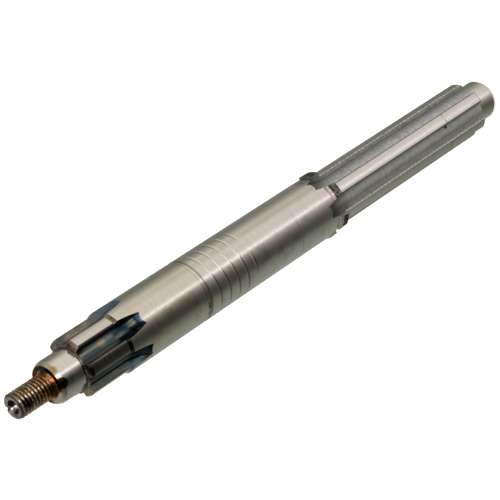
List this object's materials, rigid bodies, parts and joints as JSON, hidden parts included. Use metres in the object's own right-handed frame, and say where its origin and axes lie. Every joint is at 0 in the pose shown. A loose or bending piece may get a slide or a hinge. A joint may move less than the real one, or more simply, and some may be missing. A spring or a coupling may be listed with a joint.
{
  "type": "transmission main shaft",
  "caption": "Long stepped steel shaft with straight-sided splines at both ends of a ground body, bearing journals, a collar, centre-drilled ends and a threaded stud for a nut.",
  "frame": {"origin": "centre of the rear journal's end face, on which the shaft stands", "axes": "+Z along the shaft's axis towards the threaded stud, +X through a groove of the long spline and a tooth of the short one, +Y through a tooth of the long spline"},
  "size_m": [0.0308, 0.032, 0.3245],
  "materials": {
    "steel": "ground, with dark oxide left in the spline grooves"
  },
  "bodies": {
    "root": {"main_shaft": "steel"}
  },
  "joints": []
}
